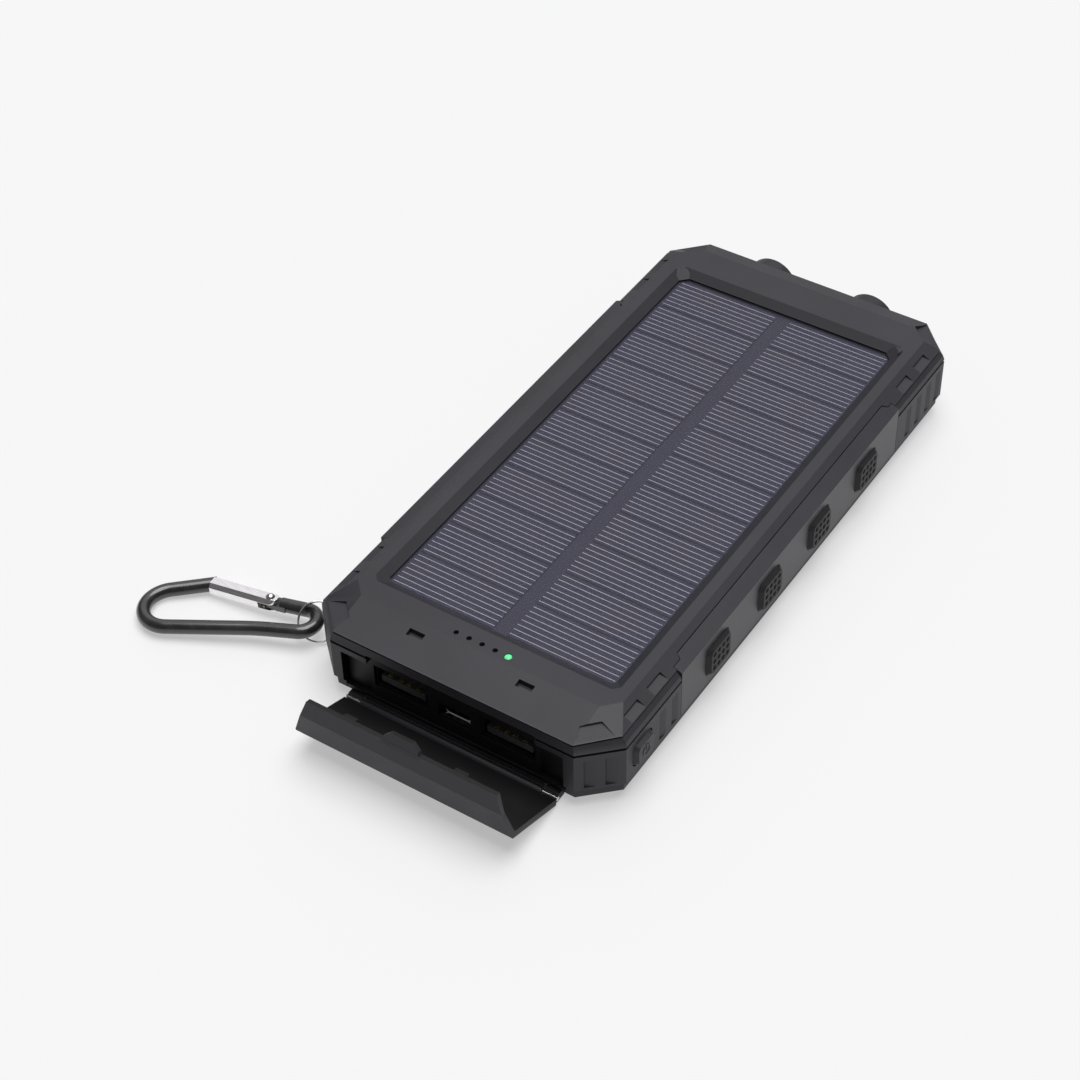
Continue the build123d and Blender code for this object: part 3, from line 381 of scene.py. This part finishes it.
def studio_floor(name):
    """Plain pale sheet with hardly any texture."""
    m = Material(name)
    m.set(Specular_IOR_Level=0.0, Roughness=0.9)
    m.set(Emission_Color=WHITE, Emission_Strength=FLOOR_GLOW)
    place = m.place()
    fibre = m.noise(place, 0.02, 2.0)
    m.colour(m.mix(m.remap(fibre, 0.3, 0.7, 0.0, 1.0), lighter(FLOOR_COLOUR, 0.998), FLOOR_COLOUR))
    return m.material


def make_materials():
    return {
        # The port recess of the shell is painted near black as shade.
        "shell": moulded_plastic("shell_plastic", CHARCOAL, 0.52, painted_shade_zone=PORT_BAY),
        "rim": moulded_plastic("rim_plastic", CHARCOAL, 0.5),
        "cover": moulded_plastic("cover_plastic", CHARCOAL, 0.5),
        # The side trim gets the lighter charcoal, painted light.
        "trim": moulded_plastic("trim_plastic", CHARCOAL_PAINTED_LIGHTER, 0.38, grain=4.0, depth=0.006),
        "pads": rubber("pad_rubber", CHARCOAL_DARK, 0.6),
        # The open flap's inner face is painted near black as shade.
        "flap": rubber("flap_rubber", CHARCOAL, 0.5, painted_shade_side=FLAP_INSIDE),
        "button": rubber("button_rubber", CHARCOAL, 0.5),
        "film": clear_plastic("panel_film", (0.3, 0.3, 0.34), 0.04, 0.12),
        "silicon": solar_silicon("solar_silicon"),
        "backing": panel_backing("panel_backing"),
        "fingers": silver_paste("silver_paste"),
        "gasket": rubber("gasket_rubber", (0.012, 0.012, 0.012)),
        "dark": moulded_plastic("inner_plastic", (0.02, 0.02, 0.021), 0.5),
        "chip": moulded_plastic("chip_plastic", (0.016, 0.016, 0.017), 0.42),
        "tongue": moulded_plastic("tongue_plastic", (0.085, 0.085, 0.085), 0.42),
        "socket": metal("blackened_steel", (0.12, 0.12, 0.12), 0.4),
        "board": circuit_board("board_green", (0.012, 0.09, 0.04)),
        "steel": metal("plated_steel", (0.5, 0.5, 0.5), 0.32, stretch=(1.0, 6.0, 1.0)),
        "bright": metal("bright_nickel", (0.78, 0.77, 0.76), 0.14),
        "gold": metal("gold_plate", (1.0, 0.74, 0.32), 0.5),
        "foil": metal("battery_foil", (0.66, 0.67, 0.69), 0.4, scale=0.3, depth=0.02),
        "foam": rubber("grey_foam", (0.1, 0.1, 0.1), 0.8),
        "light": lit_plastic("light_body", (0.8, 0.78, 0.62), 0.05),
        # The charge light pipes are tinted near black, painted shade for the dark holes they sit in.
        "pipe": clear_plastic("light_pipe", (0.012, 0.012, 0.013), 0.9, 0.25),
        "green": lit_plastic("green_light", (0.09, 0.6, 0.22), 0.4),
        "lens": clear_plastic("torch_lens", (0.6, 0.63, 0.65), 0.14, 0.03),
        "mirror": metal("reflector_chrome", (0.85, 0.85, 0.86), 0.06),
        "lead": rubber("lead_red", (0.42, 0.02, 0.02), 0.45),
        "ribbon": printed_film("ribbon_film", (0.32, 0.13, 0.03)),
        "black_metal": anodised("black_anodised", (0.014, 0.014, 0.015)),
        "aluminium": metal("bare_aluminium", (0.9, 0.89, 0.885), 0.2, stretch=(0.3, 4.0, 4.0), depth=0.0015),
        "floor": studio_floor("studio_floor"),
    }


NODE_MATERIALS = {
    "bottom_shell": "shell", "rim_collar": "rim", "top_cover": "cover",
    "side_trim_left": "trim", "side_trim_right": "trim",
    "grip_pads_left": "pads", "grip_pads_right": "pads",
    "port_flap": "flap", "flap_hinge_pin": "bright",
    "solar_board": "backing", "solar_cells": "silicon", "solar_film": "film",
    "panel_gasket": "gasket", "panel_frame": "dark",
    "main_board": "board", "board_chips": "chip",
    "micro_usb_shell": "bright", "micro_usb_tongue": "tongue",
    "indicator_board": "board", "indicator_leds": "light",
    "charge_light_pipes": "pipe", "solar_light_pipe": "green",
    "battery_cell_lower": "foil", "battery_cell_upper": "foil", "battery_foam": "foam",
    "battery_tabs": "steel", "battery_leads": "lead", "solar_leads": "lead", "torch_ribbon": "ribbon",
    "torch_board": "board", "torch_led_left": "light", "torch_led_right": "light",
    "torch_reflector_left": "mirror", "torch_reflector_right": "mirror",
    "torch_lens_left": "lens", "torch_lens_right": "lens",
    "power_button": "button", "switch_body": "chip", "switch_plunger": "dark",
    "case_screws": "steel", "key_ring": "bright",
    "carabiner_body": "black_metal", "carabiner_gate": "aluminium",
    "gate_rivet": "bright", "gate_plunger": "steel", "gate_spring": "steel",
    "usb_a_shell_left": "socket", "usb_a_shell_right": "socket",
    "usb_a_tongue_left": "tongue", "usb_a_tongue_right": "tongue",
    "usb_a_contacts_left": "gold", "usb_a_contacts_right": "gold",
}

# Radius of moulded and cut edges, in mm.
EDGE_ROUNDING = {
    "bottom_shell": 0.22, "rim_collar": 0.14, "top_cover": 0.22,
    "side_trim_left": 0.12, "side_trim_right": 0.12,
    "grip_pads_left": 0.1, "grip_pads_right": 0.1,
    "port_flap": 0.3, "power_button": 0.1,
    "carabiner_gate": 0.12,
}


# ------------------------------------------------------------------ looks of the CAD nodes
def round_edges(node, width_mm):
    """Welds and cleans the imported mesh, then rounds its sharp edges."""
    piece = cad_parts[node]
    weld = piece.modifiers.new("weld", "WELD")
    weld.merge_threshold = WELD_DISTANCE * MM
    flat = piece.modifiers.new("flat", "DECIMATE")
    flat.decimate_type = "DISSOLVE"
    flat.angle_limit = math.radians(FLAT_ANGLE)
    bevel = piece.modifiers.new("bevel", "BEVEL")
    bevel.width = width_mm * MM
    bevel.segments = ROUNDING_SEGMENTS
    bevel.limit_method = "ANGLE"
    bevel.angle_limit = math.radians(SHARP_ANGLE)
    bevel.use_clamp_overlap = True
    bevel.harden_normals = True


def dress_cad_nodes(materials):
    for node, material in NODE_MATERIALS.items():
        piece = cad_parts[node]
        piece.data.materials.clear()
        piece.data.materials.append(materials[material])
    for node, width in EDGE_ROUNDING.items():
        round_edges(node, width)


# ------------------------------------------------------------------ new pieces
def mesh_piece(name, build, material, body):
    """Adds a piece from a function that fills a bmesh."""
    mesh = bpy.data.meshes.new(name)
    shape = bmesh.new()
    build(shape)
    bmesh.ops.recalc_face_normals(shape, faces=shape.faces)
    shape.to_mesh(mesh)
    shape.free()
    mesh.materials.append(material)
    piece = bpy.data.objects.new(name, mesh)
    bpy.context.scene.collection.objects.link(piece)
    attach(piece, body)


def add_block(shape, low, high):
    """Adds a closed box between two corners, in metres."""
    size = Vector(high) - Vector(low)
    middle = (Vector(high) + Vector(low)) / 2
    place = Matrix.Translation(middle) @ Matrix.Diagonal((*size, 1.0))
    bmesh.ops.create_cube(shape, size=1.0, matrix=place)


def make_cell_fingers(materials):
    """Printed silver lines across every strip, between the cells and the film."""
    low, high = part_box("solar_cells")
    film_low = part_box("solar_film")[0].z
    gap = STRIP_GAP * MM
    pitch = (high.y - low.y + gap) / STRIPS
    start = FINGER_START * MM
    end = high.x - FINGER_MARGIN * MM
    half_width = FINGER_WIDTH * MM / 2
    bottom = high.z + CELL_CLEARANCE * MM
    top = film_low - FILM_CLEARANCE * MM

    def build(shape):
        for strip in range(STRIPS):
            middle = low.y + strip * pitch + (pitch - gap) / 2
            for finger in range(FINGERS):
                y = middle + (finger - (FINGERS - 1) / 2) * FINGER_PITCH * MM
                for side in (-1, 1):
                    left, right = sorted((side * start, side * end))
                    add_block(shape, (left, y - half_width, bottom), (right, y + half_width, top))

    mesh_piece("cell_fingers", build, materials["fingers"], "case")


# ------------------------------------------------------------------ studio
def make_floor(material):
    """Flat sheet in the plane the charger lies on."""
    mesh = bpy.data.meshes.new("studio_floor")
    half = FLOOR_HALF_WIDTH * MM
    corners = [(-half, -half, 0), (half, -half, 0), (half, half, 0), (-half, half, 0)]
    mesh.from_pydata(corners, [], [(0, 1, 2, 3)])
    mesh.materials.append(material)
    floor = bpy.data.objects.new("studio_floor", mesh)
    bpy.context.scene.collection.objects.link(floor)


def make_light(name, spec):
    """Wide soft light that is even all over the floor."""
    data = bpy.data.lights.new(name, "SUN")
    data.angle = math.radians(spec["spread"])
    data.energy = spec["strength"]
    light = bpy.data.objects.new(name, data)
    light.rotation_euler = Vector(spec["from"]).to_track_quat("Z", "Y").to_euler()
    bpy.context.scene.collection.objects.link(light)


def make_sky():
    """Dim even sky with one bright patch, as of a large soft box above and behind on the left."""
    world = bpy.data.worlds.new("studio")
    bpy.context.scene.world = world
    world.use_nodes = True
    nodes = world.node_tree.nodes
    links = world.node_tree.links
    direction = nodes.new("ShaderNodeTexCoord")
    toward_box = nodes.new("ShaderNodeVectorMath")
    toward_box.operation = "DOT_PRODUCT"
    toward_box.inputs[1].default_value = Vector(SOFT_BOX["from"]).normalized()
    links.new(direction.outputs["Generated"], toward_box.inputs[0])
    inner, outer = (math.cos(math.radians(angle)) for angle in SOFT_BOX["spread"])
    fade = nodes.new("ShaderNodeMapRange")
    fade.interpolation_type = "SMOOTHSTEP"
    fade.inputs["From Min"].default_value = outer
    fade.inputs["From Max"].default_value = inner
    links.new(toward_box.outputs["Value"], fade.inputs["Value"])
    mix = nodes.new("ShaderNodeMix")
    mix.data_type = "RGBA"
    mix.inputs[MIX_FIRST].default_value = (*SKY_COLOUR, 1.0)
    mix.inputs[MIX_SECOND].default_value = (*SOFT_BOX["colour"], 1.0)
    links.new(fade.outputs["Result"], mix.inputs[MIX_FACTOR])
    links.new(mix.outputs[MIX_RESULT], nodes["Background"].inputs["Color"])


def make_camera():
    """Camera at its distance from the target, with its roll about the line of sight."""
    azimuth = math.radians(CAMERA_AZIMUTH)
    elevation = math.radians(CAMERA_ELEVATION)
    level = math.cos(elevation)
    out = Vector((math.sin(azimuth) * level, -math.cos(azimuth) * level, math.sin(elevation)))
    data = bpy.data.cameras.new("camera")
    data.lens = LENS
    data.sensor_width = SENSOR
    data.clip_start = NEAREST_SEEN * MM
    camera = bpy.data.objects.new("camera", data)
    turn = out.to_track_quat("Z", "Y").to_matrix().to_4x4()
    place = Matrix.Translation((Vector(CAMERA_TARGET) + out * CAMERA_DISTANCE) * MM)
    camera.matrix_world = place @ turn @ Matrix.Rotation(math.radians(CAMERA_ROLL), 4, "Z")
    bpy.context.scene.collection.objects.link(camera)
    bpy.context.scene.camera = camera


# ------------------------------------------------------------------ build
materials = make_materials()
dress_cad_nodes(materials)
make_cell_fingers(materials)
make_floor(materials["floor"])
make_light("key_light", KEY_LIGHT)
make_sky()
make_camera()
bpy.context.scene.view_settings.view_transform = "Standard"
